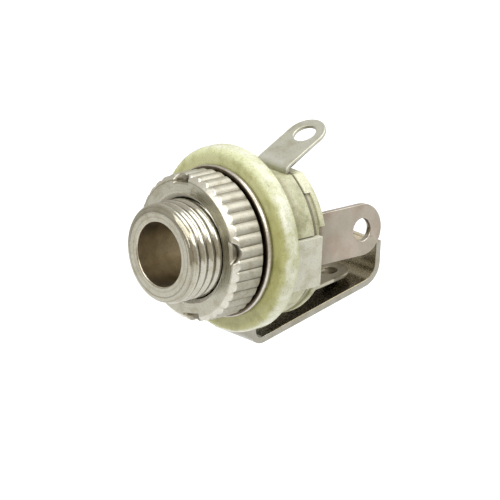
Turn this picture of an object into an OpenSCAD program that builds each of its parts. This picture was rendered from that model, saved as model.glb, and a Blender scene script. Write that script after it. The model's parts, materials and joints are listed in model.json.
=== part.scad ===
// Mono jack socket for a 6.35 mm plug, for mounting in a panel hole.
// The plug goes in along +Y. The origin is on the bore's axis, in the plane of the panel seat.

/* [Bush] */
// Diameter of the bore that takes the plug
bore_d = 6.4; // [6.3:0.05:6.8]
// Outside diameter of the panel thread
thread_d = 10; // [9.5:0.1:11]
// Length of the bush in front of the panel seat
nose_l = 8.2; // [7.5:0.1:12]
// Radius of the rounding on the nose
nose_round = 1; // [0.4:0.1:1.2]
// Width of the bevel at the mouth of the bore
mouth_bevel = 0.2; // [0.1:0.05:0.4]
// Depth of the bush's shoulder behind the panel seat
shoulder_depth = 0.8; // [0.5:0.1:1.2]
// Diameter of the riveted stem
stem_d = 8.4; // [7.8:0.1:8.8]
// Thickness of the riveted lip
lip_t = 0.6; // [0.4:0.05:1]
// Overhang of the riveted lip round the stem
lip_over = 0.5; // [0.3:0.05:0.8]

/* [Nut and washer] */
// Diameter over the nut's ribs
nut_d = 14.7; // [14:0.1:15]
// Length of the nut's ribbed band
nut_l = 3.75; // [3:0.05:4.5]
// Number of ribs round the nut
rib_count = 38; // [34:1:48]
// Radius of one rib's round crest
rib_r = 0.72; // [0.66:0.02:0.9]
// Height of the chamfer on the nut's front edge
nut_front_chamfer = 0.55; // [0.3:0.05:1]
// Height of the chamfer on the nut's rear edge
nut_rear_chamfer = 0.25; // [0.1:0.05:0.5]
// Width of the bevel at the front of the nut's bore
nut_bore_bevel = 0.5; // [0.2:0.05:0.8]
// Number of spanner notches in the nut's front edge
notch_count = 4; // [2:1:6]
// Width of a spanner notch
notch_w = 2.2; // [1.6:0.1:2.4]
// Depth of a spanner notch
notch_depth = 0.8; // [0.5:0.05:1]
// Distance from the axis to the inner end of a spanner notch
notch_in = 6.5; // [6.2:0.05:6.7]
// Angle of the first spanner notch above the horizontal
notch_angle = 10.5; // [0:0.5:45]
// Diameter of the nut's bearing face
nut_seat_d = 13; // [12:0.1:13.6]
// Height of the nut's bearing face
nut_seat_l = 0.25; // [0.2:0.05:0.6]
// Outside diameter of the washer
washer_d = 15.2; // [15:0.1:17]
// Thickness of the washer
washer_t = 0.7; // [0.5:0.05:1]

/* [Insulators] */
// Diameter of the flange
flange_d = 18.6; // [18.2:0.1:22]
// Thickness of the flange
flange_t = 1.8; // [1.5:0.1:2.6]
// Rounding of the flange's front rim
rim_round = 0.8; // [0.4:0.05:1]
// Diameter of the middle and rear discs
disc_d = 16.7; // [16:0.1:17]
// Thickness of the middle disc
middle_t = 2; // [1.6:0.1:3]
// Thickness of the rear disc
rear_t = 1.5; // [1.4:0.1:2.4]
// Height above the axis of the flat on top of the discs
disc_flat_z = 7; // [6.8:0.05:7.2]
// Bevel on the edges of the discs
disc_bevel = 0.15; // [0.1:0.05:0.3]
// Diameter of the bosses that centre the contacts
boss_d = 10.8; // [10.2:0.1:11.4]
// Width of the keying tongue on the flange
tongue_w = 5.1; // [4:0.1:6]
// Height of the tongue's middle above the axis
tongue_z = -0.9; // [-1.5:0.1:1]
// Distance of the tongue's outer face from the axis
tongue_face = 8.5; // [8.2:0.1:8.7]
// Thickness of the tongue
tongue_t = 1.3; // [1:0.1:1.6]
// Depth of the recess in the rear disc beside the tongue
recess_depth = 0.8; // [0.4:0.1:1.2]
// Width of that recess
recess_w = 0.8; // [0.4:0.1:1.2]
// Height above the axis up to which the rear disc's rim is stepped
rim_step_z = 5.5; // [5:0.1:6]
// Width of that step along the axis
rim_step_w = 0.8; // [0.3:0.05:1]
// Depth of that step
rim_step_depth = 0.25; // [0.1:0.05:0.4]

/* [Tip contact] */
// Thickness of the tip contact's sheet
tip_t = 0.7; // [0.5:0.05:0.9]
// Width of the spring strip
strip_w = 6; // [4.5:0.1:7]
// Depth below the axis at which the strip's front bend starts
strip_drop = 9; // [8.95:0.05:10]
// Length of the strip's flat run
strip_l = 13.9; // [12.5:0.1:16]
// Rise of the flat run towards the axis, in degrees
strip_rise = 13.5; // [10:0.5:15]
// Inner radius of the strip's front bend
strip_front_r = 0.8; // [0.5:0.1:1]
// Inner radius of the strip's rear bend
strip_rear_r = 1.7; // [1.2:0.1:2]
// Length of the leg that touches the plug
strip_leg = 2.2; // [1.5:0.1:2.6]
// Distance from the axis to the outer face of the tip lug
tip_lug_out = 8.2; // [8:0.1:8.6]
// Width of the tip lug
tip_lug_w = 4.1; // [3.6:0.1:4.6]
// Length from the tip lug's bend to its hole
tip_lug_l = 9.3; // [8:0.1:10.5]

/* [Break contact] */
// Thickness of the break contact's sheet
break_t = 0.4; // [0.3:0.05:0.5]
// Diameter of the break contact's ring
break_d = 13.2; // [12.6:0.1:13.4]
// Width of the break leaf
leaf_w = 4; // [3:0.1:4.6]
// Depth below the axis at which the leaf's bend starts
leaf_drop = 6.75; // [6.7:0.05:7]
// Length of the leaf from its bend to the middle of its round end
leaf_l = 9.5; // [8:0.1:9.8]
// Inner radius of the leaf's bend
leaf_bend_r = 0.5; // [0.3:0.05:0.6]
// Rise of the leaf towards the axis, in degrees
leaf_rise = 8.5; // [7:0.5:9]
// Radius of the round contact point pressed into the leaf
dimple_r = 1.3; // [1.1:0.05:1.5]
// Offset of the break lug from the middle
break_lug_x = 1.8; // [0:0.05:2.5]
// Width of the break lug
break_lug_w = 4.3; // [3.6:0.1:4.6]
// Length from the break lug's bend to its hole
break_lug_l = 4.3; // [3.5:0.05:6]
// Angle through which the break lug is bent back
break_lug_bend = 62; // [40:1:75]

/* [Sleeve contact] */
// Thickness of the sleeve contact's sheet
sleeve_t = 0.65; // [0.5:0.05:0.8]
// Distance from the axis to the outer face of the sleeve lug
sleeve_lug_out = 6.8; // [6.6:0.1:7.2]
// Width of the sleeve lug
sleeve_lug_w = 5.2; // [4.6:0.1:5.6]
// Length from the sleeve lug's bend to its hole
sleeve_lug_l = 5; // [4:0.1:6]
// Angle of the sleeve lug round the axis, above the horizontal
sleeve_lug_angle = 5; // [0:1:8]

/* [Shared] */
// Diameter of the wire holes in the lugs
lug_hole_d = 2.3; // [1.8:0.1:2.6]
// Inner radius of the lugs' bends
lug_bend_r = 0.5; // [0.3:0.05:0.6]
// Radial gap between the turning nut, its washer and the thread
thread_gap = 0.08; // [0.05:0.01:0.1]
// Gap between pieces that are slipped together
fit_gap = 0.05; // [0.03:0.01:0.1]
// Gap left at slots and keyways
slot_gap = 0.12; // [0.08:0.02:0.2]

/* [Hidden] */
$fn = 96;

bore_r = bore_d / 2;
thread_r = thread_d / 2;
stem_r = stem_d / 2;
boss_r = boss_d / 2;
disc_r = disc_d / 2;
flange_r = flange_d / 2;
turning_r = thread_r + thread_gap;

// The stack behind the panel seat, from front to rear
tip_y = flange_t;
middle_y = tip_y + tip_t;
break_y = middle_y + middle_t;
rear_y = break_y + break_t;
sleeve_y = rear_y + rear_t;
lip_y = sleeve_y + sleeve_t;

// The nut and washer in front of the panel seat
nut_rear_y = -washer_t - nut_seat_l;
nut_front_y = nut_rear_y - nut_l;
nut_r = nut_d / 2;
notch_r = (pow(notch_w / 2, 2) + pow(notch_depth, 2)) / (2 * notch_depth);

tongue_low = tongue_z - tongue_w / 2;
tongue_inner = tongue_face - tongue_t;
tongue_end_y = sleeve_y - recess_depth;

// Where the bends of the lugs start
tip_arm = tip_lug_out - lug_bend_r - tip_t;
break_arm = disc_flat_z + slot_gap;
sleeve_arm = sleeve_lug_out - lug_bend_r - sleeve_t;

// The leaf's contact point reaches down to the strip
point_y = break_y + break_t + leaf_bend_r + leaf_l * cos(leaf_rise);
leaf_low_z = leaf_line_z(point_y);
strip_top_z = strip_line_z(point_y);
point_h = leaf_low_z - strip_top_z - fit_gap;

// Overlap that joins the solids of one piece
join = 0.2;
// Overlap where a flat run of sheet meets a bend
seam = 0.02;
// Size that passes right through any piece
through = 40;

// Height of the leaf's lower face at a place along the axis
function leaf_line_z(y) =
    let (centre_y = break_y + break_t + leaf_bend_r)
    -leaf_drop - (leaf_bend_r + break_t) / cos(leaf_rise) + (y - centre_y) * tan(leaf_rise);

// Height of the strip's upper face at a place along the axis
function strip_line_z(y) =
    let (centre_y = tip_y + tip_t + strip_front_r)
    -strip_drop - strip_front_r / cos(strip_rise) + (y - centre_y) * tan(strip_rise);

// Solid of revolution round the bore's axis, from a profile of radius and place along the axis
module turned() {
    rotate([-90, 0, 0]) rotate_extrude() children();
}

// Flat sheet from an outline seen from the front
module sheet(y, t) {
    translate([0, y + t, 0]) rotate([90, 0, 0]) linear_extrude(t) children();
}

// Profile in the plane of the axis and the vertical, extruded across a width
module across(w) {
    translate([-w / 2, 0, 0]) rotate([90, 0, 90]) linear_extrude(w) children();
}

// Rectangle in a profile, between two radii and two places along the axis
module band(r_in, r_out, y_from, y_to) {
    translate([r_in, y_from]) square([r_out - r_in, y_to - y_from]);
}

// Straight run of a bent strip's profile, with what follows it
module run(l, t) {
    translate([-seam, 0]) square([l + 2 * seam, t]);
    translate([l, 0]) children();
}

// Bend of a strip's profile towards its upper face, with what follows it
module bend(r, angle, t) {
    translate([0, t + r]) {
        intersection() {
            difference() {
                circle(r + t);
                circle(r);
            }
            wedge(-90, angle, 2 * (r + t));
        }
        rotate(angle) translate([0, -t - r]) children();
    }
}

// Sector of a flat outline, up to half a turn
module wedge(from, angle, l) {
    polygon([
        [0, 0],
        l * [cos(from), sin(from)],
        l * [cos(from + angle / 3), sin(from + angle / 3)],
        l * [cos(from + 2 * angle / 3), sin(from + 2 * angle / 3)],
        l * [cos(from + angle), sin(from + angle)]
    ]);
}

// Solder lug that leaves a sheet upwards, bends to the rear and ends round, with a wire hole
module bent_lug(w, l, t, angle) {
    turn_y = t + lug_bend_r;
    across(w) rotate(90) mirror([0, 1]) bend(lug_bend_r, angle, t);
    translate([0, turn_y, 0]) rotate([-angle, 0, 0]) translate([0, -turn_y, 0])
        sheet(0, t) difference() {
            union() {
                translate([-w / 2, -seam]) square([w, l + seam]);
                translate([0, l]) circle(w / 2);
            }
            translate([0, l]) circle(lug_hole_d / 2);
        }
}

// Keyway for the tongue, as an outline seen from the front
module keyway() {
    translate([tongue_inner - slot_gap, tongue_low - slot_gap])
        square([through, tongue_w + 2 * slot_gap]);
}

// Disc of an insulator with bevelled edges and a flat on top
module insulator_disc(y, t) {
    difference() {
        turned() difference() {
            band(stem_r + fit_gap, disc_r, y, y + t);
            for (edge = [y, y + t])
                translate([disc_r, edge]) rotate(45) square(disc_bevel * sqrt(2), center = true);
        }
        sheet(y - join, t + 2 * join) translate([-through / 2, disc_flat_z]) square(through);
    }
}

module threaded_bush() {
    color("gainsboro") turned() difference() {
        union() {
            band(bore_r, thread_r - nose_round, -nose_l, shoulder_depth);
            band(bore_r, thread_r, -nose_l + nose_round, shoulder_depth);
            translate([thread_r - nose_round, -nose_l + nose_round]) circle(nose_round);
            band(bore_r, stem_r, shoulder_depth - join, lip_y + lip_t);
            band(bore_r, stem_r + lip_over - lip_t / 2, lip_y, lip_y + lip_t);
            translate([stem_r + lip_over - lip_t / 2, lip_y + lip_t / 2]) circle(lip_t / 2);
        }
        translate([bore_r, -nose_l]) rotate(45) square(mouth_bevel * sqrt(2), center = true);
        translate([bore_r, lip_y + lip_t]) rotate(45) square(mouth_bevel * sqrt(2), center = true);
        band(0, bore_r, -nose_l, lip_y + lip_t);
    }
}

module ring_nut() {
    color("silver") difference() {
        union() {
            intersection() {
                nut_ribs();
                nut_blank();
            }
            turned() band(turning_r, nut_seat_d / 2, nut_rear_y - join, nut_rear_y + nut_seat_l);
        }
        turned() translate([turning_r, nut_front_y])
            rotate(45) square(nut_bore_bevel * sqrt(2), center = true);
        for (i = [0 : notch_count - 1])
            rotate([0, -notch_angle - i * 360 / notch_count, 0]) spanner_notch();
    }
}

// Round notch across the nut's front edge, which a pin spanner takes hold of
module spanner_notch() {
    translate([notch_in, nut_front_y + notch_depth - notch_r, 0])
        rotate([0, 90, 0]) cylinder(r = notch_r, h = nut_r);
}

// The ribbed band: round ribs that run along the axis, side by side
module nut_ribs() {
    rib_centre = nut_r - rib_r;
    sheet(nut_front_y, nut_l) difference() {
        union() {
            circle(rib_centre);
            for (i = [0 : rib_count - 1])
                rotate(i * 360 / rib_count) translate([rib_centre, 0]) circle(rib_r, $fn = 24);
        }
        circle(turning_r);
    }
}

// Round blank that gives the ribbed band its chamfers
module nut_blank() {
    turned() polygon([
        [0, nut_front_y],
        [nut_r - nut_front_chamfer, nut_front_y],
        [nut_r, nut_front_y + nut_front_chamfer],
        [nut_r, nut_rear_y - nut_rear_chamfer],
        [nut_r - nut_rear_chamfer, nut_rear_y],
        [0, nut_rear_y]
    ]);
}

module panel_washer() {
    color("lightgray") turned() band(turning_r, washer_d / 2, -washer_t, 0);
}

module front_insulator() {
    color("khaki") {
        turned() union() {
            band(thread_r + fit_gap, flange_r - rim_round, 0, flange_t);
            band(stem_r + fit_gap, flange_r - rim_round, shoulder_depth, flange_t);
            band(stem_r + fit_gap, flange_r, rim_round, flange_t);
            translate([flange_r - rim_round, rim_round]) circle(rim_round);
            band(stem_r + fit_gap, boss_r, flange_t - join, flange_t + tip_t - fit_gap);
        }
        translate([tongue_inner, flange_t - join, tongue_low])
            cube([tongue_t, tongue_end_y - flange_t + join, tongue_w]);
    }
}

module tip_contact() {
    color("darkgray") {
        sheet(tip_y, tip_t) difference() {
            tip_outline(0);
            circle(boss_r + fit_gap);
            keyway();
        }
        rotate([0, -90, 0]) translate([0, tip_y, tip_arm])
            bent_lug(tip_lug_w, tip_lug_l, tip_t, 90);
        across(strip_w) translate([tip_y, -strip_drop]) rotate(-90)
            bend(strip_front_r, 90 + strip_rise, tip_t)
            run(strip_l, tip_t)
            bend(strip_rear_r, 90 - strip_rise, tip_t)
            run(strip_leg, tip_t);
    }
}

// Outline of the tip contact's flat ring and the roots of its lug and strip, widened by a gap
module tip_outline(gap) {
    circle(tip_arm + gap);
    translate([-tip_arm - seam - gap, -tip_lug_w / 2 - gap]) square([tip_arm, tip_lug_w + 2 * gap]);
    translate([-strip_w / 2 - gap, -strip_drop - seam - gap]) square([strip_w + 2 * gap, strip_drop]);
}

// The middle disc reaches from the flange to the rear disc, with a seat for a contact in each face
module middle_insulator() {
    color("palegoldenrod") difference() {
        insulator_disc(tip_y, rear_y - tip_y);
        sheet(tip_y - join, tip_t + join) tip_outline(slot_gap);
        sheet(break_y, break_t + join) difference() {
            union() {
                break_outline(slot_gap);
                leaf_slot();
            }
            circle(boss_r);
        }
        sheet(tip_y - join, rear_y - tip_y + 2 * join) {
            keyway();
            tip_lug_slot();
        }
    }
}

module break_contact() {
    color("darkgray") {
        difference() {
            union() {
                break_ring();
                break_leaf();
                contact_point(dimple_r) leaf_underside();
            }
            translate([0, point_y, leaf_low_z - point_h + dimple_r])
                sphere(dimple_r - break_t, $fn = 48);
        }
        translate([break_lug_x, break_y, break_arm])
            bent_lug(break_lug_w, break_lug_l, break_t, break_lug_bend);
    }
}

module break_ring() {
    sheet(break_y, break_t) difference() {
        break_outline(0);
        circle(boss_r + fit_gap);
        keyway();
    }
}

// Outline of the break contact's flat ring and the roots of its leaf and lug, widened by a gap
module break_outline(gap) {
    circle(break_d / 2 + gap);
    translate([-leaf_w / 2 - gap, -leaf_drop - seam - gap]) square([leaf_w + 2 * gap, leaf_drop]);
    translate([break_lug_x - break_lug_w / 2 - gap, 0])
        square([break_lug_w + 2 * gap, break_arm + seam + gap]);
}

// The leaf, cut to its round end
module break_leaf() {
    intersection() {
        across(leaf_w) translate([break_y, -leaf_drop]) rotate(-90)
            bend(leaf_bend_r, 90 + leaf_rise, break_t)
            run(leaf_l + leaf_w, break_t);
        translate([0, 0, -through / 2]) linear_extrude(through) {
            translate([-leaf_w / 2, 0]) square([leaf_w, point_y]);
            translate([0, point_y]) circle(leaf_w / 2);
        }
    }
}

// Ball of the contact point, kept only inside the given room
module contact_point(r) {
    intersection() {
        translate([0, point_y, leaf_low_z - point_h + r]) sphere(r, $fn = 48);
        children();
    }
}

// Room below the middle of the leaf's sheet
module leaf_underside() {
    translate([0, point_y, leaf_low_z + break_t / 2]) rotate([leaf_rise, 0, 0])
        translate([-leaf_w / 2, -leaf_w / 2, -leaf_w]) cube(leaf_w);
}

module rear_insulator() {
    color("palegoldenrod") difference() {
        insulator_disc(rear_y, rear_t);
        sheet(rear_y - join, rear_t + 2 * join) {
            keyway();
            leaf_slot();
            tip_lug_slot();
        }
        sheet(sleeve_y - recess_depth, recess_depth + join)
            translate([tongue_inner - slot_gap, tongue_low]) square([through, tongue_w + recess_w]);
        rim_step();
    }
}

// Step round the front of the rear disc's rim, below its top
module rim_step() {
    sheet(rear_y - join, rim_step_w + join) difference() {
        translate([-through / 2, rim_step_z - through]) square(through);
        circle(disc_r - rim_step_depth);
    }
}

// Slot at the bottom that lets the leaf out
module leaf_slot() {
    translate([-leaf_w / 2 - slot_gap, -through - leaf_drop + slot_gap])
        square([leaf_w + 2 * slot_gap, through]);
}

// Slot at the side that lets the tip lug out
module tip_lug_slot() {
    translate([-through - tip_arm + slot_gap, -tip_lug_w / 2 - slot_gap])
        square([through, tip_lug_w + 2 * slot_gap]);
}

module sleeve_contact() {
    color("rosybrown") rotate([0, 90 - sleeve_lug_angle, 0]) {
        sheet(sleeve_y, sleeve_t) difference() {
            union() {
                circle(sleeve_arm);
                translate([-sleeve_lug_w / 2, 0]) square([sleeve_lug_w, sleeve_arm + seam]);
            }
            circle(stem_r + fit_gap);
        }
        translate([0, sleeve_y, sleeve_arm])
            bent_lug(sleeve_lug_w, sleeve_lug_l, sleeve_t, 90);
    }
}

threaded_bush();
ring_nut();
panel_washer();
front_insulator();
tip_contact();
middle_insulator();
break_contact();
rear_insulator();
sleeve_contact();
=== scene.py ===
"""Dresses a panel-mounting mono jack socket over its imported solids.

The plug goes in along +Y and +Z is up. Lengths are in metres unless a name says otherwise.
"""

import json
import logging
import math
from dataclasses import dataclass
from enum import Enum

import bmesh
import bpy
import numpy as np
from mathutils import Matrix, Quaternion, Vector


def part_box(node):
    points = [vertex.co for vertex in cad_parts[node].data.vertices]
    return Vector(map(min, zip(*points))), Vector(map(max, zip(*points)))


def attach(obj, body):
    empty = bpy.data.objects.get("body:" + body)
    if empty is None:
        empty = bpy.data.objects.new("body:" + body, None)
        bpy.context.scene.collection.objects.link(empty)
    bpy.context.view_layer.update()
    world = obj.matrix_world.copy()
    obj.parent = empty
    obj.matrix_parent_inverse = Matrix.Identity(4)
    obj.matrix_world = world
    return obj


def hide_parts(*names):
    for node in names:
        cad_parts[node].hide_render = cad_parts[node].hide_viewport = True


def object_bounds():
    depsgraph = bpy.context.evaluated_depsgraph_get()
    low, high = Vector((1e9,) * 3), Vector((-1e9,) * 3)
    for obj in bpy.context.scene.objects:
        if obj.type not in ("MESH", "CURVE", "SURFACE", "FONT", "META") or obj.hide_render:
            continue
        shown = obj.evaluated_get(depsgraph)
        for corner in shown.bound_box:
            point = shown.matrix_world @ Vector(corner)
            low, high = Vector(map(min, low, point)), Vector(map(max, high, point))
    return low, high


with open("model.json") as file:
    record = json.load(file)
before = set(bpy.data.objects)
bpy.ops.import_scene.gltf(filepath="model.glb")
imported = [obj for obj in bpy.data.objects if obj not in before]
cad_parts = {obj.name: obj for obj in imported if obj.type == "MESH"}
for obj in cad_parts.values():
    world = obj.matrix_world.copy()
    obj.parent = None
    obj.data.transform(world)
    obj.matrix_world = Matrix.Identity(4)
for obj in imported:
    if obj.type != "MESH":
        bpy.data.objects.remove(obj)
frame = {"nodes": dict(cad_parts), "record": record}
CAD_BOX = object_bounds()

LOG = logging.getLogger("jack_socket")
MM = 0.001
FULL_TURN = 2 * math.pi

# Lengths that are too short to see.
SAME_POINT = 1e-8
HAIR = 1e-6

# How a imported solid's edges are softened.
WELD_DISTANCE = 0.02 * MM
FLAT_ANGLE = math.radians(0.3)
SHARP_ANGLE = math.radians(28)
BEVEL_STEPS = 2
FLAT_FACE_WEIGHT = 90

# Numbers of the mix node's sockets, since each kind of value has its own.
MIX_FACTOR = 0
MIX_FIRST_NUMBER = 2
MIX_SECOND_NUMBER = 3
MIX_FIRST_COLOUR = 6
MIX_SECOND_COLOUR = 7
MIX_COLOUR_RESULT = 2

MATT_ROUGHNESS = 0.9
PATCH_RANGE = {"Low": 0.35, "High": 0.65}

Colour = tuple[float, float, float]
Place = tuple[float, float, float]
Corner = tuple[float, float, float]
Span = tuple[float, float]
Node = bpy.types.Node
Socket = bpy.types.NodeSocket
Tree = bpy.types.NodeTree
Value = float | Socket
Paint = Colour | Socket


class Body(Enum):
    """The bodies that the pieces ride on."""

    SOCKET = "socket"
    WASHER = "washer"
    NUT = "nut"


class Slot(Enum):
    """The record's material slots."""

    NICKEL = "nickel_plate"
    FLANGE = "ivory_flange"
    DISC = "ivory_disc"
    CONTACT = "contact_sheet"
    SLEEVE = "sleeve_sheet"


class Marks(Enum):
    """Marks that making leaves in a metal surface."""

    TURNED = "turned_rings"
    ROLLED = "rolled_grain"


class Graph:
    """Adds nodes to one shader tree and links them."""

    def __init__(self, tree: Tree) -> None:
        """Keeps the tree and empties it."""
        self.tree = tree
        self.tree.nodes.clear()

    def link(self, source: Socket, node: Node, key: str | int) -> None:
        """Links an output to one of a node's inputs."""
        self.tree.links.new(source, node.inputs[key])

    def add(self, kind: str, inputs: dict | None = None, **settings: object) -> Node:
        """Adds a node.

        Args:
            kind: Blender's name for the type of node.
            inputs: Value or output socket for each input, by the input's name or number.
            settings: Values of the node's own properties.

        Returns:
            The new node.
        """
        node = self.tree.nodes.new(kind)
        for key, value in settings.items():
            setattr(node, key, value)
        for key, value in (inputs or {}).items():
            if isinstance(value, Socket):
                self.link(value, node, key)
            else:
                node.inputs[key].default_value = value
        return node

    def math(self, operation: str, *values: Value) -> Socket:
        """Adds a math node on the given numbers or sockets and returns its result."""
        return self.add("ShaderNodeMath", dict(enumerate(values)), operation=operation).outputs[0]

    def ramp(self, value: Value, low: Value, high: Value) -> Socket:
        """Maps a value smoothly from 0 at low to 1 at high and returns the result."""
        inputs = {"Value": value, "From Min": low, "From Max": high}
        return self.add("ShaderNodeMapRange", inputs, interpolation_type="SMOOTHSTEP").outputs["Result"]

    def blend(self, factor: Value, first: Paint, second: Paint, way: str = "MIX") -> Socket:
        """Mixes two colours, in the way that Blender has that name for, and returns the result."""
        inputs = {MIX_FACTOR: factor, MIX_FIRST_COLOUR: opaque(first), MIX_SECOND_COLOUR: opaque(second)}
        return self.add("ShaderNodeMix", inputs, data_type="RGBA", blend_type=way).outputs[MIX_COLOUR_RESULT]

    def tint(self, factor: Value, share: float, colour: Paint, tint: Colour) -> Socket:
        """Multiplies a colour by a tint, to the share of a factor, and returns the result."""
        return self.blend(self.math("MULTIPLY", factor, share), colour, tint, "MULTIPLY")

    def lerp(self, factor: Value, first: Value, second: Value) -> Socket:
        """Mixes two numbers by a factor and returns the result."""
        inputs = {MIX_FACTOR: factor, MIX_FIRST_NUMBER: first, MIX_SECOND_NUMBER: second}
        return self.add("ShaderNodeMix", inputs, data_type="FLOAT").outputs[0]

    def noise(self, place: Socket, scale: Value, detail: float) -> Socket:
        """Adds a noise texture at a place in millimetres and returns its value."""
        inputs = {"Vector": place, "Scale": scale, "Detail": detail}
        return self.add("ShaderNodeTexNoise", inputs).outputs[0]

    def hand_out(self, result: Node, **outputs: Socket) -> Tree:
        """Gives a node group its results.

        Args:
            result: The group's output node.
            outputs: The socket for each of its inputs, by name.

        Returns:
            The group's tree.
        """
        for key, value in outputs.items():
            self.link(value, result, key)
        return self.tree


def opaque(colour: Paint) -> tuple | Socket:
    """Gives a plain colour its fourth number, and returns a socket as it is."""
    return (*colour, 1.0) if isinstance(colour, tuple) else colour


class Effects:
    """Shader node groups that several finishes share, each built once."""

    STAIN_DETAIL = 4.0
    GRAIN_DETAIL = 3.0
    GRIT_RANGE = (0.45, 0.75)
    ROLLING_STRETCH = (1.0, 0.06, 1.0)
    INNER_FACING = (0.0, -0.6, 0.8)
    INNER_RANGE = (0.2, 0.5)
    INNER_FADE_MM = 1.0
    FLAT_POINTINESS = 0.5
    HOLLOW_START = 0.49

    def __init__(self) -> None:
        """Starts with no group."""
        self.groups: dict[str, Tree] = {}

    def place(self, graph: Graph, effect: str, inputs: dict | None = None) -> Node:
        """Puts a group into a material.

        Args:
            graph: The material's graph.
            effect: Name of the method here that builds the group.
            inputs: Value for each of the group's inputs.

        Returns:
            The group's node in the material.
        """
        if effect not in self.groups:
            self.groups[effect] = getattr(self, effect)()
        return graph.add("ShaderNodeGroup", inputs, node_tree=self.groups[effect])

    @staticmethod
    def start(name: str, inputs: dict[str, float], outputs: list[str]) -> tuple[Graph, Node, Node]:
        """Makes an empty group with its sockets.

        Args:
            name: Name of the group.
            inputs: Name and first value of each input.
            outputs: Name of each output.

        Returns:
            The graph, the node that gives the inputs and the node that takes the outputs.
        """
        tree = bpy.data.node_groups.new(name, "ShaderNodeTree")
        for key, value in inputs.items():
            socket = tree.interface.new_socket(key, in_out="INPUT", socket_type="NodeSocketFloat")
            socket.default_value = value
        for key in outputs:
            tree.interface.new_socket(key, in_out="OUTPUT", socket_type="NodeSocketFloat")
        graph = Graph(tree)
        return graph, graph.add("NodeGroupInput"), graph.add("NodeGroupOutput")

    @staticmethod
    def millimetres(graph: Graph) -> Socket:
        """Adds the place on the piece, in millimetres of the shared frame.

        Args:
            graph: The group's graph.

        Returns:
            The place.
        """
        place = graph.add("ShaderNodeTexCoord").outputs["Object"]
        scale = {0: place, "Scale": 1 / MM}
        return graph.add("ShaderNodeVectorMath", scale, operation="SCALE").outputs[0]

    def axis_place(self, graph: Graph) -> tuple[Socket, Socket, Socket]:
        """Adds the place on the piece as seen from the bore's axis, in millimetres.

        Args:
            graph: The group's graph.

        Returns:
            The distance from the axis, the place along it and the height.
        """
        parts = graph.add("ShaderNodeSeparateXYZ", {0: self.millimetres(graph)}).outputs
        squares = [graph.math("POWER", parts[key], 2.0) for key in ("X", "Z")]
        return graph.math("SQRT", graph.math("ADD", *squares)), parts["Y"], parts["Z"]

    def axis_zone(self) -> Tree:
        """Stretch between two places along the axis and two radii, with soft borders.

        Returns:
            The group's tree.
        """
        values = {"From": 0.0, "To": 1.0, "Inner": 0.0, "Outer": 1.0, "Soft": 0.05}
        graph, given, result = self.start("axis_zone", values, ["Mask"])
        radius, along, _ = self.axis_place(graph)
        soft = given.outputs["Soft"]
        mask = 1.0
        for value, low, high in ((along, "From", "To"), (radius, "Inner", "Outer")):
            start, end = given.outputs[low], given.outputs[high]
            rise = graph.ramp(value, graph.math("SUBTRACT", start, soft), graph.math("ADD", start, soft))
            fall = graph.ramp(value, graph.math("ADD", end, soft), graph.math("SUBTRACT", end, soft))
            mask = graph.math("MULTIPLY", mask, graph.math("MULTIPLY", rise, fall))
        return graph.hand_out(result, Mask=mask)

    def height_fade(self) -> Tree:
        """Share that rises from one height to another.

        Returns:
            The group's tree.
        """
        graph, given, result = self.start("height_fade", {"From": 0.0, "To": 1.0}, ["Mask"])
        _, _, height = self.axis_place(graph)
        return graph.hand_out(result, Mask=graph.ramp(height, given.outputs["From"], given.outputs["To"]))

    def turned_rings(self) -> Tree:
        """Fine rings round the axis, as a lathe leaves them.

        Returns:
            The group's tree.
        """
        graph, given, result = self.start("turned_rings", {"Density": 8.0}, ["Height"])
        radius, along, _ = self.axis_place(graph)
        ring = graph.add("ShaderNodeCombineXYZ", {0: radius, 1: along}).outputs[0]
        height = graph.noise(ring, given.outputs["Density"], self.GRAIN_DETAIL)
        return graph.hand_out(result, Height=height)

    def rolled_grain(self) -> Tree:
        """Fine streaks along the strip, as the rolling mill leaves them in sheet.

        Returns:
            The group's tree.
        """
        graph, given, result = self.start("rolled_grain", {"Density": 8.0}, ["Height"])
        stretch = {0: self.millimetres(graph), 1: self.ROLLING_STRETCH}
        place = graph.add("ShaderNodeVectorMath", stretch, operation="MULTIPLY").outputs[0]
        height = graph.noise(place, given.outputs["Density"], self.GRAIN_DETAIL)
        return graph.hand_out(result, Height=height)

    def soft_stains(self) -> Tree:
        """Broad soft patches.

        Returns:
            The group's tree.
        """
        values = {"Density": 0.5, "Low": 0.45, "High": 0.7}
        graph, given, result = self.start("soft_stains", values, ["Mask"])
        patches = graph.noise(self.millimetres(graph), given.outputs["Density"], self.STAIN_DETAIL)
        mask = graph.ramp(patches, given.outputs["Low"], given.outputs["High"])
        return graph.hand_out(result, Mask=mask)

    def fine_grit(self) -> Tree:
        """Fine uneven grain of a plated or moulded surface.

        Returns:
            The group's tree.
        """
        graph, given, result = self.start("fine_grit", {"Density": 8.0}, ["Height", "Mask"])
        height = graph.noise(self.millimetres(graph), given.outputs["Density"], self.GRAIN_DETAIL)
        return graph.hand_out(result, Height=height, Mask=graph.ramp(height, *self.GRIT_RANGE))

    def shaded_inner_side(self) -> Tree:
        """Faces of a bent sheet that look up or forwards, behind a place along the axis, for painted shade.

        Returns:
            The group's tree.
        """
        graph, given, result = self.start("shaded_inner_side", {"From": 0.0}, ["Mask"])
        directions = {0: graph.add("ShaderNodeTexCoord").outputs["Normal"], 1: self.INNER_FACING}
        facing = graph.add("ShaderNodeVectorMath", directions, operation="DOT_PRODUCT").outputs["Value"]
        _, along, _ = self.axis_place(graph)
        start = given.outputs["From"]
        behind = graph.ramp(along, start, graph.math("ADD", start, self.INNER_FADE_MM))
        mask = graph.math("MULTIPLY", behind, graph.ramp(facing, *self.INNER_RANGE))
        return graph.hand_out(result, Mask=mask)

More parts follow.
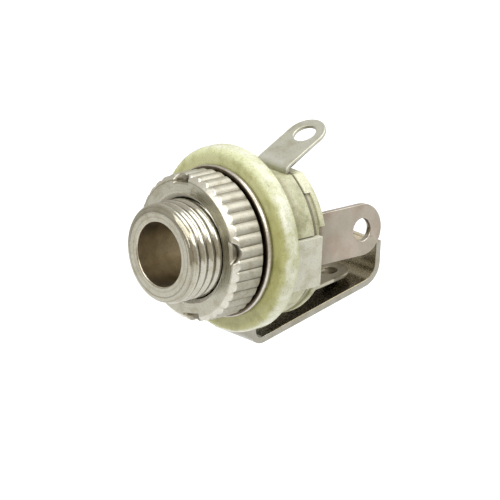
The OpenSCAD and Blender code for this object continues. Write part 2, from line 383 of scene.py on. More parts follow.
    def fine_specks(self) -> Tree:
        """Small scattered specks.

        Returns:
            The group's tree.
        """
        graph, given, result = self.start("fine_specks", {"Density": 3.0, "Size": 0.2}, ["Mask"])
        cells = {"Vector": self.millimetres(graph), "Scale": given.outputs["Density"]}
        distance = graph.add("ShaderNodeTexVoronoi", cells).outputs["Distance"]
        return graph.hand_out(result, Mask=graph.ramp(distance, given.outputs["Size"], 0.0))

    def shaded_hollows(self) -> Tree:
        """Hollows of a piece, for painted shade.

        Returns:
            The group's tree.
        """
        graph, given, result = self.start("shaded_hollows", {"Reach": 0.06}, ["Mask"])
        bend = graph.add("ShaderNodeNewGeometry").outputs["Pointiness"]
        deepest = graph.math("SUBTRACT", self.FLAT_POINTINESS, given.outputs["Reach"])
        return graph.hand_out(result, Mask=graph.ramp(bend, self.HOLLOW_START, deepest))


EFFECTS = Effects()


def new_material(name: str) -> tuple[bpy.types.Material, Graph, Node, Node]:
    """Makes a material with one plain shader.

    Args:
        name: Name of the material.

    Returns:
        The material, its graph, its shader and its output node.
    """
    material = bpy.data.materials.new(name)
    material.use_nodes = True
    graph = Graph(material.node_tree)
    shader = graph.add("ShaderNodeBsdfPrincipled")
    output = graph.add("ShaderNodeOutputMaterial")
    graph.link(shader.outputs[0], output, "Surface")
    return material, graph, shader, output


def lay_surface(graph: Graph, shader: Node, colour: Socket, rough: Socket,
                reliefs: list[tuple[Socket, float]]) -> None:
    """Gives a shader its colour, roughness and fine relief.

    Args:
        graph: The material's graph.
        shader: The material's shader.
        colour: The surface's colour.
        rough: The surface's roughness.
        reliefs: Form and height in millimetres of each layer of relief.
    """
    height = 0.0
    for relief, height_mm in reliefs:
        height = graph.math("ADD", height, graph.math("MULTIPLY", relief, height_mm))
    bump = graph.add("ShaderNodeBump", {"Height": height, "Strength": 1.0, "Distance": MM})
    graph.link(colour, shader, "Base Color")
    graph.link(rough, shader, "Roughness")
    graph.link(bump.outputs[0], shader, "Normal")


@dataclass(frozen=True)
class Zone:
    """Part of a piece that gets a colour of its own; some zones are the piece's real tone, some are painted
    light and shade.

    It lies between two places along the axis and two radii. It can also be broken into patches, fade in with
    height and have its own roughness.
    """

    colour: Colour
    along_mm: Span = (-50.0, 50.0)
    radius_mm: Span = (-1.0, 50.0)
    soft_mm: float = 0.06
    share: float = 1.0
    roughness: float | None = None
    patch_density: float | None = None
    height_mm: Span | None = None

    def mask(self, graph: Graph) -> Socket:
        """Adds the zone's mask to a material.

        Args:
            graph: The material's graph.

        Returns:
            The mask, 1 inside the zone.
        """
        inputs = {"From": self.along_mm[0], "To": self.along_mm[1], "Inner": self.radius_mm[0],
                  "Outer": self.radius_mm[1], "Soft": self.soft_mm}
        inside = EFFECTS.place(graph, "axis_zone", inputs).outputs["Mask"]
        if self.patch_density is not None:
            patches = EFFECTS.place(graph, "soft_stains", {"Density": self.patch_density, **PATCH_RANGE})
            inside = graph.math("MULTIPLY", inside, patches.outputs["Mask"])
        if self.height_mm is not None:
            fade = EFFECTS.place(graph, "height_fade", {"From": self.height_mm[0], "To": self.height_mm[1]})
            inside = graph.math("MULTIPLY", inside, fade.outputs["Mask"])
        return graph.math("MULTIPLY", inside, self.share)


def paint_zones(graph: Graph, zones: tuple[Zone, ...], colour: Paint, rough: Socket) -> tuple[Paint, Socket]:
    """Lays zones over a surface.

    Args:
        graph: The material's graph.
        zones: The zones, from the lowest to the topmost.
        colour: The surface's colour.
        rough: The surface's roughness.

    Returns:
        The new colour and roughness.
    """
    for zone in zones:
        mask = zone.mask(graph)
        colour = graph.blend(mask, colour, zone.colour)
        if zone.roughness is not None:
            rough = graph.lerp(mask, rough, zone.roughness)
    return colour, rough


@dataclass(frozen=True)
class Plating:
    """Nickel plate on a turned or a stamped piece."""

    name: str
    colour: Colour
    roughness: float
    marks: Marks
    mark_density: float = 9.0
    mark_mm: float = 0.004
    mark_roughness: Span = (0.75, 1.3)
    tarnish: Colour = (0.82, 0.8, 0.74)
    stain_density: float = 0.5
    # Tint of the grit's dirt, and of the painted shade in hollows and on inner faces.
    dirt_and_shade: Colour = (0.3, 0.27, 0.2)
    grit_mm: float = 0.006
    grit_density: float = 7.0
    grit_share: float = 0.3
    hollow_shade_share: float = 0.0
    inner_from_mm: float = 0.0
    inner_shade_share: float = 0.0
    zones: tuple[Zone, ...] = ()

    def material(self) -> bpy.types.Material:
        """Builds the plating's material.

        Returns:
            The material.
        """
        material, graph, shader, _ = new_material(self.name)
        marks = EFFECTS.place(graph, self.marks.value, {"Density": self.mark_density}).outputs["Height"]
        grit = EFFECTS.place(graph, "fine_grit", {"Density": self.grit_density}).outputs
        stains = EFFECTS.place(graph, "soft_stains", {"Density": self.stain_density}).outputs["Mask"]
        rough = graph.lerp(marks, *(self.roughness * change for change in self.mark_roughness))
        colour, rough = paint_zones(graph, self.zones, self.colour, rough)
        colour = graph.tint(stains, 1.0, colour, self.tarnish)
        colour = graph.tint(grit["Mask"], self.grit_share, colour, self.dirt_and_shade)
        # Painted shade in the hollows of the piece, found by their curvature.
        if self.hollow_shade_share:
            hollows = EFFECTS.place(graph, "shaded_hollows").outputs["Mask"]
            colour = graph.tint(hollows, self.hollow_shade_share, colour, self.dirt_and_shade)
        # Painted shade on the faces of a bent sheet that look up or forwards.
        if self.inner_shade_share:
            inner = EFFECTS.place(graph, "shaded_inner_side", {"From": self.inner_from_mm}).outputs["Mask"]
            colour = graph.tint(inner, self.inner_shade_share, colour, self.dirt_and_shade)
        shader.inputs["Metallic"].default_value = 1.0
        lay_surface(graph, shader, colour, rough, [(marks, self.mark_mm), (grit["Height"], self.grit_mm)])
        return material


@dataclass(frozen=True)
class Moulding:
    """Ivory plastic of an insulator."""

    name: str
    colour: Colour
    stain: Colour
    roughness: float
    wave_mm: float
    wave_density: float
    grit_mm: float
    stain_share: float
    speck_share: float
    coat: float
    zones: tuple[Zone, ...] = ()
    wave_roughness: Span = (0.8, 1.25)
    grit_fineness: float = 3.0
    stain_density: float = 0.7
    speck_density: float = 2.4
    speck_size: float = 0.16
    scatter_share: float = 0.12
    scatter_reach: Colour = (1.0, 0.9, 0.5)
    scatter_depth: float = 0.6 * MM
    coat_roughness: float = 0.15

    def material(self) -> bpy.types.Material:
        """Builds the plastic's material.

        Returns:
            The material.
        """
        material, graph, shader, _ = new_material(self.name)
        spots = {"Density": self.speck_density, "Size": self.speck_size}
        stains = EFFECTS.place(graph, "soft_stains", {"Density": self.stain_density}).outputs["Mask"]
        specks = EFFECTS.place(graph, "fine_specks", spots).outputs["Mask"]
        waves = EFFECTS.place(graph, "fine_grit", {"Density": self.wave_density}).outputs
        grit = EFFECTS.place(graph, "fine_grit", {"Density": self.wave_density * self.grit_fineness}).outputs
        rough = graph.lerp(waves["Height"], *(self.roughness * change for change in self.wave_roughness))
        colour, rough = paint_zones(graph, self.zones, self.colour, rough)
        colour = graph.tint(stains, self.stain_share, colour, self.stain)
        colour = graph.tint(grit["Mask"], self.stain_share, colour, self.stain)
        colour = graph.tint(specks, self.speck_share, colour, self.stain)
        shader.inputs["Subsurface Weight"].default_value = self.scatter_share
        shader.inputs["Subsurface Radius"].default_value = self.scatter_reach
        shader.inputs["Subsurface Scale"].default_value = self.scatter_depth
        shader.inputs["Coat Weight"].default_value = self.coat
        shader.inputs["Coat Roughness"].default_value = self.coat_roughness
        reliefs = [(waves["Height"], self.wave_mm), (grit["Height"], self.grit_mm)]
        lay_surface(graph, shader, colour, rough, reliefs)
        return material


def rounded_loop(corners: list[Corner], steps: int) -> np.ndarray:
    """Closed profile of a turned piece, with its corners rounded.

    Args:
        corners: Radius, place along the axis and rounding of each corner, in order.
        steps: Number of steps round each corner.

    Returns:
        Radius and place along the axis of each point, one row per point.
    """
    points = []
    for i, (radius, along, rounding) in enumerate(corners):
        here = np.array([radius, along])
        if rounding <= 0:
            points.append(here)
            continue
        before = np.array(corners[i - 1][:2]) - here
        after = np.array(corners[(i + 1) % len(corners)][:2]) - here
        before /= np.linalg.norm(before)
        after /= np.linalg.norm(after)
        half = 0.5 * math.acos(float(np.clip(before @ after, -1, 1)))
        middle = (before + after) / np.linalg.norm(before + after)
        centre = here + middle * rounding / math.sin(half)
        first = here + before * rounding / math.tan(half) - centre
        last = here + after * rounding / math.tan(half) - centre
        sweep = math.pi - 2 * half
        for share in np.linspace(0, 1, steps + 1):
            turn = np.sin((1 - share) * sweep) * first + np.sin(share * sweep) * last
            points.append(centre + turn / math.sin(sweep))
    return np.array(points)


def denser(loop: np.ndarray, step: float, plain_radius: float = 0.0,
           plain_step: float = 0.8 * MM) -> np.ndarray:
    """Puts points into a closed profile wherever two are further apart than step.

    Args:
        loop: The profile's points.
        step: Longest distance that is left between two points.
        plain_radius: Radius inside which the piece is plain.
        plain_step: Longest distance that is left there.

    Returns:
        The denser profile.
    """
    points = []
    for here, there in zip(loop, np.roll(loop, -1, axis=0)):
        longest = step if min(here[0], there[0]) > plain_radius else plain_step
        count = max(1, math.ceil(np.linalg.norm(there - here) / longest))
        points.extend(here + (there - here) * k / count for k in range(count))
    return np.array(points)


def soft_min(first: np.ndarray, second: np.ndarray, reach: float) -> np.ndarray:
    """Lower of two values, with the edge between them rounded over a reach."""
    share = np.clip(0.5 + 0.5 * (second - first) / reach, 0, 1)
    return second * (1 - share) + first * share - reach * share * (1 - share)


def new_object(name: str, mesh: bpy.types.Mesh) -> bpy.types.Object:
    """Puts a mesh into the scene.

    Args:
        name: Name of the new object.
        mesh: Its mesh.

    Returns:
        The new object.
    """
    piece = bpy.data.objects.new(name, mesh)
    bpy.context.scene.collection.objects.link(piece)
    return piece


def turned_object(name: str, radius: np.ndarray, along: np.ndarray) -> bpy.types.Object:
    """Makes a mesh round the bore's axis from a closed loop of rows.

    Args:
        name: Name of the new object.
        radius: Radius at each row and column.
        along: Place along the axis at each row and column.

    Returns:
        The new object, smooth and with its faces turned outwards.
    """
    rows, columns = radius.shape
    angle = np.linspace(0, FULL_TURN, columns, endpoint=False)
    points = np.stack([radius * np.cos(angle), along, radius * np.sin(angle)], axis=-1)
    index = np.arange(rows * columns).reshape(rows, columns)
    next_row = np.roll(index, -1, axis=0)
    quads = np.stack([index, np.roll(index, -1, axis=1), np.roll(next_row, -1, axis=1), next_row], axis=-1)
    mesh = bpy.data.meshes.new(name)
    mesh.from_pydata(points.reshape(-1, 3).tolist(), [], quads.reshape(-1, 4).tolist())
    shell = bmesh.new()
    shell.from_mesh(mesh)
    bmesh.ops.dissolve_degenerate(shell, dist=SAME_POINT, edges=shell.edges)
    bmesh.ops.recalc_face_normals(shell, faces=shell.faces)
    shell.to_mesh(mesh)
    shell.free()
    mesh.shade_smooth()
    return new_object(name, mesh)


def softened_copy(node: str, name: str, rounding: float) -> bpy.types.Object:
    """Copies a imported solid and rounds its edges.

    Args:
        node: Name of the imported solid.
        name: Name of the new object.
        rounding: Width of the rounding on each edge.

    Returns:
        The new object.
    """
    shell = bmesh.new()
    shell.from_mesh(frame["nodes"][node].data)
    bmesh.ops.remove_doubles(shell, verts=shell.verts, dist=WELD_DISTANCE)
    bmesh.ops.dissolve_limit(shell, angle_limit=FLAT_ANGLE, verts=shell.verts, edges=shell.edges)
    mesh = bpy.data.meshes.new(name)
    shell.to_mesh(mesh)
    shell.free()
    mesh.shade_smooth()
    piece = new_object(name, mesh)
    bevel = piece.modifiers.new("soft_edges", "BEVEL")
    bevel.width = rounding
    bevel.segments = BEVEL_STEPS
    bevel.limit_method = "ANGLE"
    bevel.angle_limit = SHARP_ANGLE
    bevel.use_clamp_overlap = False
    flat = piece.modifiers.new("flat_faces", "WEIGHTED_NORMAL")
    flat.weight = FLAT_FACE_WEIGHT
    return piece


def fit(piece: bpy.types.Object, node: str, body: Body, material: bpy.types.Material) -> None:
    """Finishes a piece and sets it in the frame.

    Args:
        piece: The new piece.
        node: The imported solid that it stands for.
        body: The body that it rides on.
        material: Its material.
    """
    piece.data.materials.clear()
    piece.data.materials.append(material)
    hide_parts(node)
    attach(piece, body.value)
    LOG.info("%s: %d points for %s on %s", piece.name, len(piece.data.vertices), node, body.value)


@dataclass
class Bush:
    """The turned tube with its rounded nose, panel thread and riveted end."""

    node: str = "threaded_bush"
    nose_rounding: float = 0.75 * MM
    mouth_rounding: float = 0.18 * MM
    thread_depth: float = 0.4 * MM
    thread_phase: float = 0.56
    thread_end: float = -0.6 * MM
    crest_rounding: float = 0.08 * MM
    shoulder: float = 0.8 * MM
    stem_radius: float = 4.2 * MM
    stem_margin: float = 0.01 * MM
    lip_thickness: float = 0.6 * MM
    lip_overhang: float = 0.5 * MM
    lip_front_rounding: float = 0.1 * MM
    lip_rear_rounding: float = 0.28 * MM
    corner_steps: int = 14
    row_step: float = 0.05 * MM
    columns: int = 200

    def __post_init__(self) -> None:
        """Takes the main sizes from the frame."""
        low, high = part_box(self.node)
        self.front, self.rear, self.radius = low.y, high.y, high.x
        mounts = {mount["name"]: mount for mount in frame["record"]["mounts"]}
        self.bore_radius = mounts["plug_bore"]["dims"]["r_mm"] * MM
        coupling = frame["record"]["behaviour"]["couplings"][0]
        self.pitch = coupling["ratio"] * FULL_TURN

    def profile(self) -> np.ndarray:
        """Draws the bush without its thread.

        Returns:
            The closed profile, dense enough for the thread.
        """
        lip_radius = self.stem_radius + self.lip_overhang
        lip = self.rear - self.lip_thickness
        loop = rounded_loop([
            (self.bore_radius, self.front, self.mouth_rounding),
            (self.radius, self.front, self.nose_rounding),
            (self.radius, self.shoulder, 0.0),
            (self.stem_radius, self.shoulder, 0.0),
            (self.stem_radius, lip, 0.0),
            (lip_radius, lip, self.lip_front_rounding),
            (lip_radius, self.rear, self.lip_rear_rounding),
            (self.bore_radius, self.rear, self.mouth_rounding),
        ], self.corner_steps)
        return denser(loop, self.row_step, plain_radius=self.stem_radius + self.stem_margin)

    def thread(self, along: np.ndarray, angle: np.ndarray) -> np.ndarray:
        """Radius of the right-hand thread.

        Args:
            along: Place along the axis, one row per point of the profile.
            angle: Angle round the axis, one column per step.

        Returns:
            Radius at each row and column.
        """
        phase = (along[:, None] / self.pitch + angle[None, :] / FULL_TURN - self.thread_phase) % 1.0
        height = np.sin(np.abs(2 * phase - 1) * math.pi / 2)
        fade = np.clip((along - self.thread_end) / self.pitch, 0, 1)[:, None]
        return self.radius - self.thread_depth * (1 - height) * (1 - fade)

    def build(self) -> bpy.types.Object:
        """Makes the bush with its thread cut in.

        Returns:
            The new piece.
        """
        loop = self.profile()
        angle = np.linspace(0, FULL_TURN, self.columns, endpoint=False)
        plain = np.repeat(loop[:, :1], self.columns, axis=1)
        in_front = (loop[:, 1] < self.shoulder - HAIR)[:, None]
        cut = soft_min(plain, self.thread(loop[:, 1], angle), self.crest_rounding)
        radius = np.where(in_front, np.minimum(cut, plain), plain)
        along = np.repeat(loop[:, 1:], self.columns, axis=1)
        return turned_object("bush", radius, along)

    def dress(self, finish: Plating) -> None:
        """Builds the bush and sets it in the frame."""
        fit(self.build(), self.node, Body.SOCKET, finish.material())


@dataclass
class RingNut:
    """The nut with its ribbed rim."""

    node: str = "ring_nut"
    ribs: int = 38
    rib_radius: float = 0.72 * MM
    front_chamfer: float = 0.55 * MM
    rear_chamfer: float = 0.25 * MM
    bore_bevel: float = 0.4 * MM
    bore_radius: float = 5.08 * MM
    seat_radius: float = 6.5 * MM
    seat_height: float = 0.25 * MM
    notches: int = 4
    notch_width: float = 2.2 * MM
    notch_depth: float = 0.8 * MM
    notch_inner: float = 6.5 * MM
    notch_angle: float = math.radians(10.5)
    edge_rounding: float = 0.08 * MM
    bore_rounding: float = 0.06 * MM
    face_rounding: float = 0.25 * MM
    crest_rounding: float = 0.12 * MM
    chamfer_softness: float = 0.05 * MM
    corner_steps: int = 6
    columns_per_rib: int = 14
    row_step: float = 0.09 * MM

    def __post_init__(self) -> None:
        """Takes the main sizes from the frame."""
        low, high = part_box(self.node)
        self.front, self.rear, self.radius = low.y, high.y, high.x

    def profile(self) -> np.ndarray:
        """Draws the nut over the crests of its ribs.

        Returns:
            The closed profile.
        """
        band = self.rear - self.seat_height
        loop = rounded_loop([
            (self.bore_radius, self.front + self.bore_bevel, self.bore_rounding),
            (self.bore_radius + self.bore_bevel, self.front, self.edge_rounding),
            (self.radius - self.front_chamfer, self.front, self.face_rounding),
            (self.radius, self.front + self.front_chamfer, self.crest_rounding),
            (self.radius, band - self.rear_chamfer, self.edge_rounding),
            (self.radius - self.rear_chamfer, band, self.edge_rounding),
            (self.seat_radius, band, 0.0),
            (self.seat_radius, self.rear, self.edge_rounding),
            (self.bore_radius, self.rear, 0.0),
        ], self.corner_steps)
        return denser(loop, self.row_step)

    def rib(self, angle: np.ndarray) -> np.ndarray:
        """Radius of the round ribs.

        Args:
            angle: Angle round the axis at each column.

        Returns:
            Radius at each column.
        """
        centre = self.radius - self.rib_radius
        step = FULL_TURN / self.ribs
        off = (angle + step / 2) % step - step / 2
        return centre * np.cos(off) + np.sqrt(self.rib_radius ** 2 - (centre * np.sin(off)) ** 2)

    def notch_floor(self, radius: np.ndarray, angle: np.ndarray) -> np.ndarray:
        """Place along the axis of the floor of the round spanner notches.

        Args:
            radius: Radius at each row and column.
            angle: Angle round the axis at each column.

        Returns:
            The notches' floor at each row and column, and the nut's front outside them.
        """
        step = FULL_TURN / self.notches
        off = (angle - self.notch_angle + step / 2) % step - step / 2
        bend = (self.notch_width ** 2 / 4 + self.notch_depth ** 2) / (2 * self.notch_depth)
        sag = bend - np.sqrt(np.maximum(bend ** 2 - (radius * np.sin(off)) ** 2, 0))
        depth = np.maximum(self.notch_depth - sag, 0)
        return self.front + np.where(radius > self.notch_inner, depth, 0)

    def build(self) -> bpy.types.Object:
        """Makes the nut with its ribs and spanner notches.

        Returns:
            The new piece.
        """
        loop = self.profile()
        columns = self.ribs * self.columns_per_rib
        angle = np.linspace(0, FULL_TURN, columns, endpoint=False)
        plain = np.repeat(loop[:, :1], columns, axis=1)
        ribbed = np.repeat(self.rib(angle)[None, :], len(loop), axis=0)
        radius = np.minimum(soft_min(plain, ribbed, self.chamfer_softness), plain)
        along = np.maximum(np.repeat(loop[:, 1:], columns, axis=1), self.notch_floor(radius, angle))
        return turned_object("nut", radius, along)

    def dress(self, finish: Plating) -> None:
        """Builds the nut and sets it in the frame."""
        fit(self.build(), self.node, Body.NUT, finish.material())


@dataclass
class Washer:
    """The loose washer behind the nut."""

    node: str = "panel_washer"
    bore_radius: float = 5.08 * MM
    rounding: float = 0.3 * MM
    corner_steps: int = 6
    columns: int = 192

    def build(self) -> bpy.types.Object:
        """Makes the washer with softly rounded rims.

        Returns:
            The new piece.
        """
        low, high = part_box(self.node)
        loop = rounded_loop([
            (self.bore_radius, low.y, self.rounding),
            (high.x, low.y, self.rounding),
            (high.x, high.y, self.rounding),
            (self.bore_radius, high.y, self.rounding),
        ], self.corner_steps)
        radius = np.repeat(loop[:, :1], self.columns, axis=1)
        along = np.repeat(loop[:, 1:], self.columns, axis=1)
        return turned_object("washer", radius, along)

    def dress(self, finish: Plating) -> None:
        """Builds the washer and sets it in the frame."""
        fit(self.build(), self.node, Body.WASHER, finish.material())


@dataclass
class Insulators:
    """The moulded flange and the two discs behind it."""

    flange_rounding: float = 0.08 * MM
    disc_rounding: float = 0.06 * MM

    def dress(self, flange: Moulding, disc: Moulding) -> None:
        """Builds the insulators and sets them in the frame.

        Args:
            flange: The flange's finish.
            disc: The discs' finish.
        """
        piece = softened_copy("front_insulator", "flange", self.flange_rounding)
        fit(piece, "front_insulator", Body.SOCKET, flange.material())
        plastic = disc.material()
        for node, name in (("middle_insulator", "middle_disc"), ("rear_insulator", "rear_disc")):
            piece = softened_copy(node, name, self.disc_rounding)
            fit(piece, node, Body.SOCKET, plastic)


@dataclass
class Contacts:
    """The three stamped and bent contacts."""

    rounding: float = 0.1 * MM

    def dress(self, strip: Plating, leaf: Plating, sleeve: Plating) -> None:
        """Builds the contacts and sets them in the frame.

        Args:
            strip: Finish of the tip contact with its long strip.
            leaf: Finish of the break contact with its leaf.
            sleeve: Finish of the sleeve contact.
        """
        for node, name, slot, finish in (
                ("tip_contact", "tip_spring", Slot.CONTACT, strip),
                ("break_contact", "break_leaf", Slot.CONTACT, leaf),
                ("sleeve_contact", "sleeve_lug", Slot.SLEEVE, sleeve)):
            fit(softened_copy(node, name, self.rounding), node, Body.SOCKET, finish.material())


def flat_sheet(name: str, corners: list[Place], colour: Colour) -> tuple[bpy.types.Object, Graph, Node, Node]:
    """Makes a matt sheet for the studio.

    Args:
        name: Name of the sheet.
        corners: Its four corners in order.
        colour: Its colour.

    Returns:
        The new object, and its material's graph, shader and output node.
    """
    mesh = bpy.data.meshes.new(name)
    mesh.from_pydata(corners, [], [(0, 1, 2, 3)])
    material, graph, shader, output = new_material(name)
    shader.inputs["Base Color"].default_value = opaque(colour)
    shader.inputs["Roughness"].default_value = MATT_ROUGHNESS
    shader.inputs["Specular IOR Level"].default_value = 0.0
    mesh.materials.append(material)
    return new_object(name, mesh), graph, shader, output


@dataclass(frozen=True)
class Softbox:
    """Broad light that faces the socket."""

    name: str
    place: Place
    size: Span
    watts: float
    mirrored_only: bool = False

    def hang(self) -> None:
        """Hangs the softbox in the scene."""
        light = bpy.data.lights.new(self.name, "AREA")
        light.shape = "RECTANGLE"
        light.size, light.size_y = self.size
        light.energy = self.watts
        lamp = bpy.data.objects.new(self.name, light)
        lamp.location = self.place
        lamp.visible_diffuse = not self.mirrored_only
        lamp.rotation_mode = "QUATERNION"
        lamp.rotation_quaternion = (-Vector(self.place)).to_track_quat("-Z", "Y")
        bpy.context.scene.collection.objects.link(lamp)


@dataclass(frozen=True)
class Card:
    """Upright card beside the socket, which only its metal mirrors."""

    name: str
    low: Place
    high: Place
    colour: Colour

    def stand(self) -> None:
        """Stands the card in the scene."""
        (x0, y0, z0), (x1, y1, z1) = self.low, self.high
        corners = [(x0, y0, z0), (x1, y1, z0), (x1, y1, z1), (x0, y0, z1)]
        card, *_ = flat_sheet(self.name, corners, self.colour)
        card.visible_camera = False
        card.visible_diffuse = False
        card.visible_shadow = False


GREY_CARD = (0.66, 0.64, 0.59)
TAN_CARD = (0.56, 0.5, 0.41)
CREAM_CARD = (0.8, 0.74, 0.63)
SOFTBOXES = (
    Softbox("top_softbox", place=(0.1, 0.15, 0.36), size=(0.34, 0.46), watts=1.6),
    Softbox("front_softbox", place=(0.02, -0.46, 0.32), size=(0.6, 0.42), watts=1.8),
    Softbox("side_softbox", place=(0.36, -0.02, 0.28), size=(0.6, 0.2), watts=1.1, mirrored_only=True),
)
CARDS = (
    Card("left_card", low=(-0.12, -0.4, -0.04), high=(-0.12, 0.0, 0.35), colour=GREY_CARD),
    Card("rear_left_card", low=(-0.12, 0.0, -0.04), high=(-0.12, 0.118, 0.09), colour=GREY_CARD),
    Card("front_card", low=(-0.03, -0.14, -0.045), high=(0.1, -0.14, 0.06), colour=TAN_CARD),
    Card("right_card", low=(0.1, -0.14, -0.045), high=(0.16, 0.02, 0.06), colour=CREAM_CARD),
)


@dataclass
class Studio:
    """Floor, light and camera."""

    azimuth: float = 46.75
    elevation: float = 17.88
    roll: float = 2.837
    target: Place = (5.85 * MM, -1.59 * MM, 0.85 * MM)
    distance: float = 563.1 * MM
    lens_mm: float = 418.3
    sensor_mm: float = 36.0
    clip: Span = (0.01, 20.0)
    floor_drop: float = 0.03
    floor_half: float = 1.5
    floor_colour: Colour = (0.8, 0.8, 0.8)
    floor_glow: float = 0.35
    sky_colour: Colour = (1.0, 1.0, 1.0)
    ambient: float = 0.5

    def camera(self) -> None:
        """Sets the camera at the photograph's angle."""
        turn, lift = math.radians(self.azimuth), math.radians(self.elevation)
        back = Vector((math.sin(turn) * math.cos(lift), -math.cos(turn) * math.cos(lift), math.sin(lift)))
        roll = Quaternion((0, 0, 1), math.radians(self.roll))
        lens = bpy.data.cameras.new("camera")
        lens.lens = self.lens_mm
        lens.sensor_width = self.sensor_mm
        lens.clip_start, lens.clip_end = self.clip
        camera = bpy.data.objects.new("camera", lens)
        camera.rotation_mode = "QUATERNION"
        camera.location = Vector(self.target) + back * self.distance
        camera.rotation_quaternion = (-back).to_track_quat("-Z", "Y") @ roll
        bpy.context.scene.collection.objects.link(camera)
        bpy.context.scene.camera = camera

    @staticmethod
    def seen_rays(graph: Graph) -> Socket:
        """Adds a mask for the rays that show a surface or the sky.

        Args:
            graph: The graph of the material or the world.

        Returns:
            1 for rays from the camera, from gloss and from glass.
        """
        path = graph.add("ShaderNodeLightPath")
        seen = graph.math("MAXIMUM", path.outputs["Is Camera Ray"], path.outputs["Is Glossy Ray"])
        return graph.math("MAXIMUM", seen, path.outputs["Is Transmission Ray"])

    def world(self) -> None:
        """Lights the scene softly from all round, with a white background."""
        world = bpy.data.worlds.new("studio")
        world.use_nodes = True
        graph = Graph(world.node_tree)
        strength = graph.lerp(self.seen_rays(graph), self.ambient, 1.0)
        sky = graph.add("ShaderNodeBackground", {"Color": opaque(self.sky_colour), "Strength": strength})
        output = graph.add("ShaderNodeOutputWorld")
        graph.link(sky.outputs[0], output, "Surface")
        bpy.context.scene.world = world

    def floor(self) -> None:
        """Lays a plain white floor under the socket, which keeps the shadow."""
        height = CAD_BOX[0].z - self.floor_drop
        half = self.floor_half
        corners = [(-half, -half, height), (half, -half, height), (half, half, height), (-half, half, height)]
        floor, graph, shader, output = flat_sheet("floor", corners, self.floor_colour)
        strength = graph.math("MULTIPLY", self.seen_rays(graph), self.floor_glow)
        glow = graph.add("ShaderNodeEmission", {"Strength": strength})
        both = graph.add("ShaderNodeAddShader", {0: shader.outputs[0], 1: glow.outputs[0]})
        graph.link(both.outputs[0], output, "Surface")

    def build(self) -> None:
        """Sets up the whole studio."""
        self.camera()
        self.world()
        self.floor()
        for softbox in SOFTBOXES:
            softbox.hang()
        for card in CARDS:
            card.stand()
        bpy.context.scene.view_settings.view_transform = "Standard"


# Painted shade for the dark gap between the nut and the washer.
GAP_SHADE = (0.13, 0.105, 0.075)
# Painted shade for the notches of the nut and the pressed point of the leaf.
HOLLOW_SHADE = (0.1, 0.085, 0.06)
DARK_RING = (0.28, 0.26, 0.21)
BORE_MM = (-1.0, 3.26)

TURNED_NICKEL = Plating(
    name="turned_nickel", colour=(0.45, 0.435, 0.37), roughness=0.13, marks=Marks.TURNED, mark_mm=0.006,
    zones=(
        # The nose.
        Zone((0.4, 0.382, 0.31), along_mm=(-8.3, -7.5), soft_mm=0.1),
        # Painted shade in the thread's roots.
        Zone((0.05, 0.04, 0.03), along_mm=(-7.85, 0.0), radius_mm=(4.2, 4.68), soft_mm=0.05, share=0.9),
        # Darker rings round the nose.
        Zone((0.2, 0.185, 0.15), along_mm=(-8.3, -7.7), radius_mm=(4.18, 4.32), soft_mm=0.04, share=0.7),
        Zone(DARK_RING, along_mm=(-8.3, -7.3), radius_mm=(4.6, 4.74), soft_mm=0.04, share=0.6),
        Zone(DARK_RING, along_mm=(-8.3, -8.0), radius_mm=(3.62, 3.78), soft_mm=0.05, share=0.5),
        # The bore and its stains.
        Zone((0.62, 0.56, 0.45), radius_mm=BORE_MM, soft_mm=0.04, roughness=0.32),
        Zone((0.42, 0.37, 0.27), radius_mm=BORE_MM, soft_mm=0.04, share=0.6, patch_density=0.7),
    ))
NUT_NICKEL = Plating(
    name="nut_nickel", colour=(0.42, 0.405, 0.335), roughness=0.28, marks=Marks.TURNED, mark_density=6.0,
    # The nut's hollows get painted shade.
    stain_density=1.0, hollow_shade_share=0.7,
    zones=(
        # Painted light on the bevel of the bore, and a painted highlight on the chamfer of the ribs.
        Zone((0.8, 0.78, 0.7), along_mm=(-4.8, -4.2), radius_mm=(5.0, 5.5), soft_mm=0.04, roughness=0.75),
        Zone((0.62, 0.6, 0.53), along_mm=(-4.66, -4.16), radius_mm=(6.82, 7.4), soft_mm=0.05,
             share=0.75, roughness=0.3),
        # The ribs, and painted shade in the grooves between them.
        Zone((0.38, 0.365, 0.307), along_mm=(-4.1, -0.9), radius_mm=(6.9, 8.0), roughness=0.55),
        Zone((0.18, 0.16, 0.12), along_mm=(-4.0, -1.0), radius_mm=(6.9, 7.1), soft_mm=0.03, share=0.65),
        # Painted shade in the notches.
        Zone(HOLLOW_SHADE, along_mm=(-4.35, -3.4), radius_mm=(6.2, 6.92), soft_mm=0.1, share=0.75),
        # Painted shade in the gap where the nut sits on the washer.
        Zone(GAP_SHADE, along_mm=(-1.0, 0.0), soft_mm=0.03),
    ))
WASHER_NICKEL = Plating(
    name="washer_nickel", colour=(0.54, 0.51, 0.46), roughness=0.3, marks=Marks.TURNED, mark_density=10.0,
    grit_share=0.5,
    zones=(
        # Painted shade on the face under the nut, in the gap.
        Zone(GAP_SHADE, along_mm=(-1.0, -0.6), radius_mm=(-1.0, 7.47), soft_mm=0.03),
    ))
STRIP_SHEET = Plating(
    name="strip_sheet", colour=(0.3, 0.29, 0.245), dirt_and_shade=(0.66, 0.58, 0.45), roughness=0.26,
    # The strip's faces that look up or forwards get painted shade.
    marks=Marks.ROLLED, mark_mm=0.003, grit_share=0.25, inner_from_mm=4.0, inner_shade_share=0.9,
    zones=(
        # Painted light on the end of the rear leg.
        Zone((0.9, 0.88, 0.8), along_mm=(16.0, 20.0), radius_mm=(-1.0, 3.3), soft_mm=0.5, share=0.8),
    ))
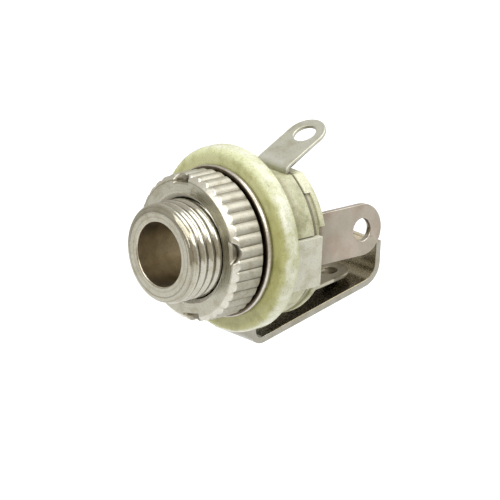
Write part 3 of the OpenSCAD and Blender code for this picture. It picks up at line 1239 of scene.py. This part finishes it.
LEAF_SHEET = Plating(
    name="leaf_sheet", colour=(0.46, 0.455, 0.385), dirt_and_shade=(0.3, 0.255, 0.195), roughness=0.5,
    # The leaf's faces that look up or forwards get painted shade.
    marks=Marks.ROLLED, mark_mm=0.003, grit_share=0.2, inner_from_mm=11.0, inner_shade_share=0.9,
    zones=(
        # Painted shade in the pressed point, and painted light on the bend of the lug.
        Zone(HOLLOW_SHADE, along_mm=(13.7, 15.9), radius_mm=(6.22, 9.0), soft_mm=0.08, share=0.7),
        Zone((0.52, 0.52, 0.46), along_mm=(4.2, 5.2), radius_mm=(6.5, 9.2), soft_mm=0.5),
    ))
SLEEVE_SHEET = Plating(
    name="sleeve_sheet", colour=(0.385, 0.335, 0.28), tarnish=(0.92, 0.85, 0.83), roughness=0.3,
    marks=Marks.ROLLED, mark_mm=0.003, grit_share=0.15,
    zones=(
        # Stains, and painted shade on the part of the lug next to the disc.
        Zone((0.3, 0.28, 0.225), along_mm=(6.0, 20.0), share=0.7, patch_density=0.3),
        Zone((0.26, 0.235, 0.185), along_mm=(5.0, 8.4), soft_mm=1.0, share=0.8),
    ))
FLANGE_IVORY = Moulding(
    name="flange_ivory", colour=(0.42, 0.41, 0.16), stain=(0.52, 0.51, 0.28), roughness=0.24, wave_mm=0.05,
    wave_density=2.2, grit_mm=0.008, stain_share=0.48, speck_share=0.1, coat=0.3,
    zones=(
        # Painted light on the upper part, which is paler.
        Zone((0.69, 0.71, 0.42), along_mm=(-0.2, 1.9), soft_mm=0.3, height_mm=(2.5, 9.0)),
        # The paler rim, and painted broken highlights on it.
        Zone((0.6, 0.61, 0.41), along_mm=(0.4, 1.85), radius_mm=(8.8, 9.6), soft_mm=0.3, share=0.8),
        Zone((0.72, 0.72, 0.58), along_mm=(0.25, 1.5), radius_mm=(8.9, 9.6), soft_mm=0.3, patch_density=0.8),
        # Painted shade on the face round the washer.
        Zone((0.43, 0.415, 0.17), along_mm=(-0.2, 0.35), radius_mm=(7.0, 8.5), soft_mm=0.35, share=0.5),
        # The boss and the tongue.
        Zone((0.57, 0.555, 0.455), along_mm=(1.95, 20.0), soft_mm=0.1, roughness=0.5),
    ))
DISC_IVORY = Moulding(
    name="disc_ivory", colour=(0.46, 0.455, 0.28), stain=(0.39, 0.37, 0.22), roughness=0.5, wave_mm=0.08,
    wave_density=2.5, grit_mm=0.025, stain_share=0.5, speck_share=0.7, coat=0.0,
    zones=(
        # Paler patches, and painted light on the top of the rear disc.
        Zone((0.58, 0.57, 0.4), along_mm=(1.8, 7.0), radius_mm=(7.0, 8.6), share=0.6, patch_density=0.9),
        Zone((0.76, 0.76, 0.57), along_mm=(5.0, 7.0), share=0.85, height_mm=(2.0, 8.0)),
        # Painted shade behind the flange and in the seam between the discs.
        Zone((0.26, 0.24, 0.13), along_mm=(1.7, 3.1), radius_mm=(8.0, 8.6), soft_mm=0.3, share=0.6),
        Zone((0.18, 0.16, 0.09), along_mm=(4.75, 5.02), soft_mm=0.07, share=0.85),
        # Painted shade on the step in the rear disc's rim, darkest at its seam.
        Zone((0.33, 0.31, 0.17), along_mm=(4.9, 5.75), radius_mm=(7.8, 8.22), soft_mm=0.05, share=0.6),
        Zone((0.12, 0.1, 0.06), along_mm=(4.9, 5.3), radius_mm=(7.8, 8.22), soft_mm=0.08, share=0.8),
    ))


def main() -> None:
    """Builds the socket's pieces and the studio."""
    logging.basicConfig(level=logging.INFO)
    Bush().dress(TURNED_NICKEL)
    RingNut().dress(NUT_NICKEL)
    Washer().dress(WASHER_NICKEL)
    Insulators().dress(FLANGE_IVORY, DISC_IVORY)
    Contacts().dress(STRIP_SHEET, LEAF_SHEET, SLEEVE_SHEET)
    Studio().build()


if __name__ == "__main__":
    main()
